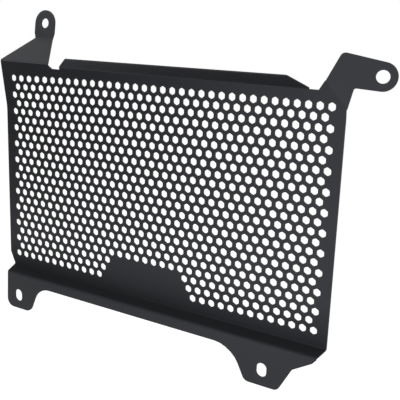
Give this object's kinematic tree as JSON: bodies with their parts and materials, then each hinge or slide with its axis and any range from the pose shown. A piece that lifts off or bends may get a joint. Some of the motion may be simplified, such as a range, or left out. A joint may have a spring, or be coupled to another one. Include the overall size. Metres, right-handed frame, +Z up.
{
  "type": "radiator guard",
  "caption": "Folded black sheet guard for a motorcycle radiator, pierced with staggered hexagons, with bolt ears above and slotted feet on a set-forward flange below.",
  "frame": {"origin": "centre of the upper left bolt hole, on the back face of its tab", "axes": "+X to the right as seen from the road side, +Y back towards the radiator, +Z up"},
  "size_m": [0.3228, 0.0319, 0.2529],
  "materials": {
    "black_coat": "satin black powder coat"
  },
  "bodies": {
    "root": {"radiator_guard": "black_coat"}
  },
  "joints": []
}
